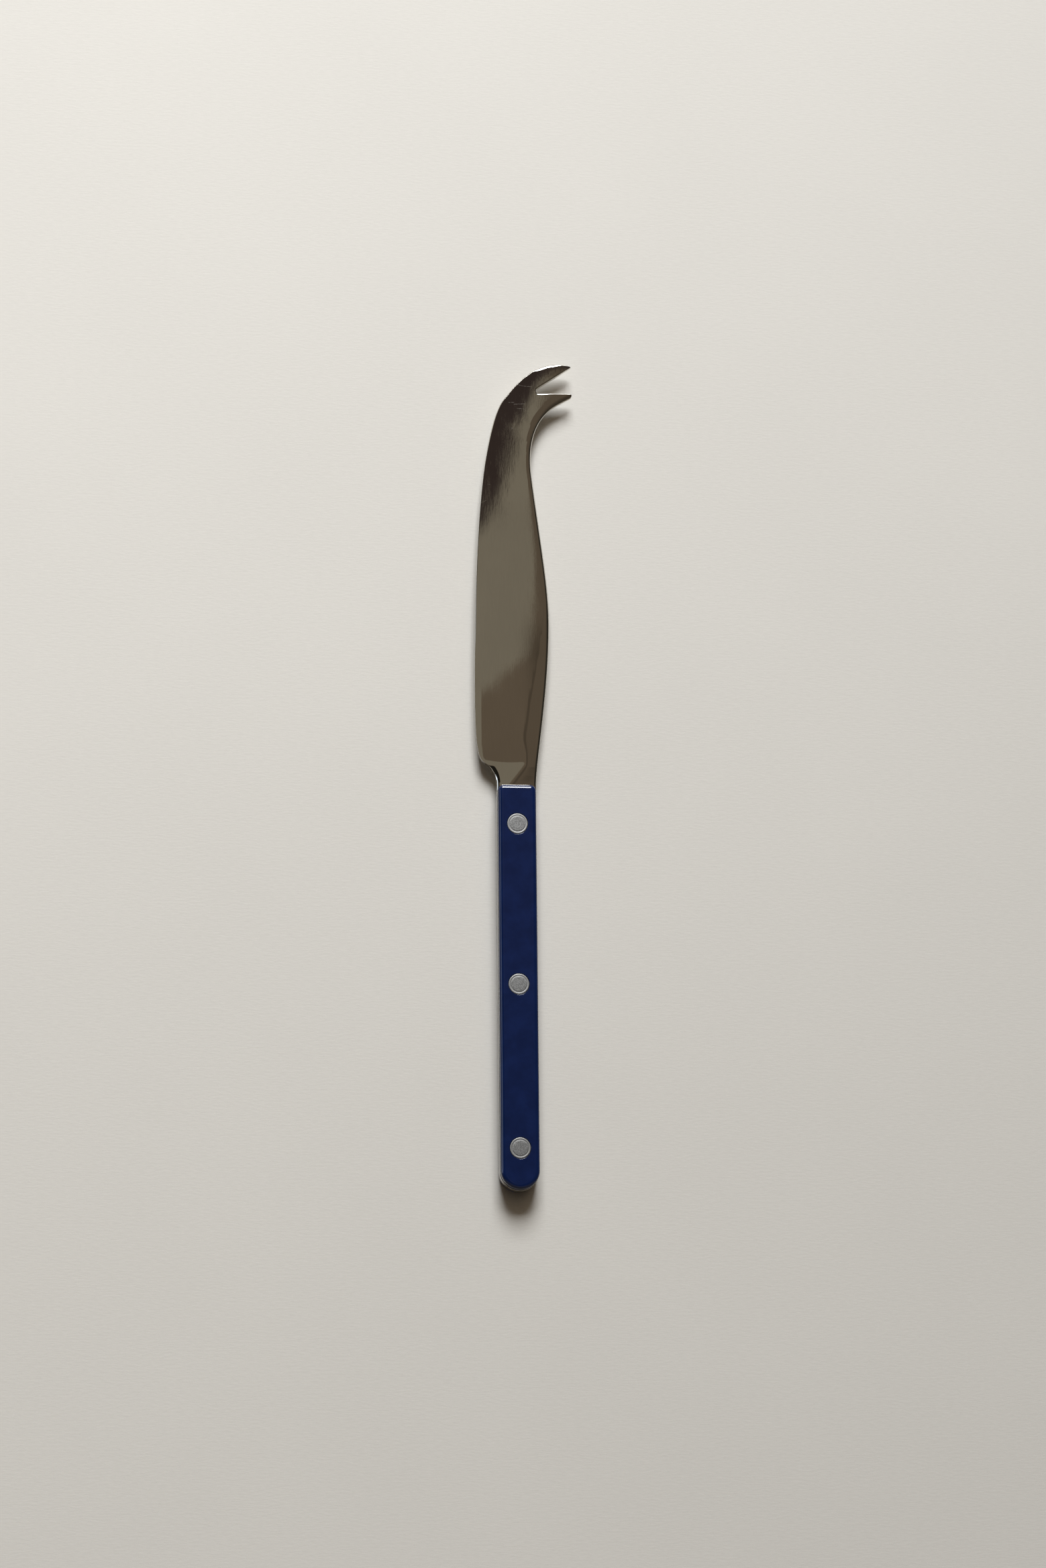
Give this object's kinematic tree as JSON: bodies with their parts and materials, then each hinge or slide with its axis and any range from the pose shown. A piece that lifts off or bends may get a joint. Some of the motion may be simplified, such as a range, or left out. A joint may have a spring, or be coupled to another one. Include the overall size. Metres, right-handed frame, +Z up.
{
  "type": "cheese knife",
  "caption": "Cheese knife with a curved steel blade that ends in a forked tip, and a slim dark blue riveted handle over a full tang.",
  "frame": {"origin": "middle of the footprint, on the surface that the knife lies on", "axes": "+Y along the knife towards the fork tip, +X towards the spine, +Z up out of the front face"},
  "size_m": [0.0286, 0.24, 0.0082],
  "materials": {
    "blade_steel": "polished stainless steel with fine lengthwise grinding lines",
    "scale_plastic": "smooth navy plastic with a soft gloss",
    "rivet_steel": "matte grey steel, a little pitted, with a polished rim"
  },
  "bodies": {
    "root": {"blade": "blade_steel", "front_scale": "scale_plastic", "back_scale": "scale_plastic", "rivet_post_1": "rivet_steel", "rivet_post_2": "rivet_steel", "rivet_post_3": "rivet_steel", "rivet_tube_1": "rivet_steel", "rivet_tube_2": "rivet_steel", "rivet_tube_3": "rivet_steel"}
  },
  "joints": []
}
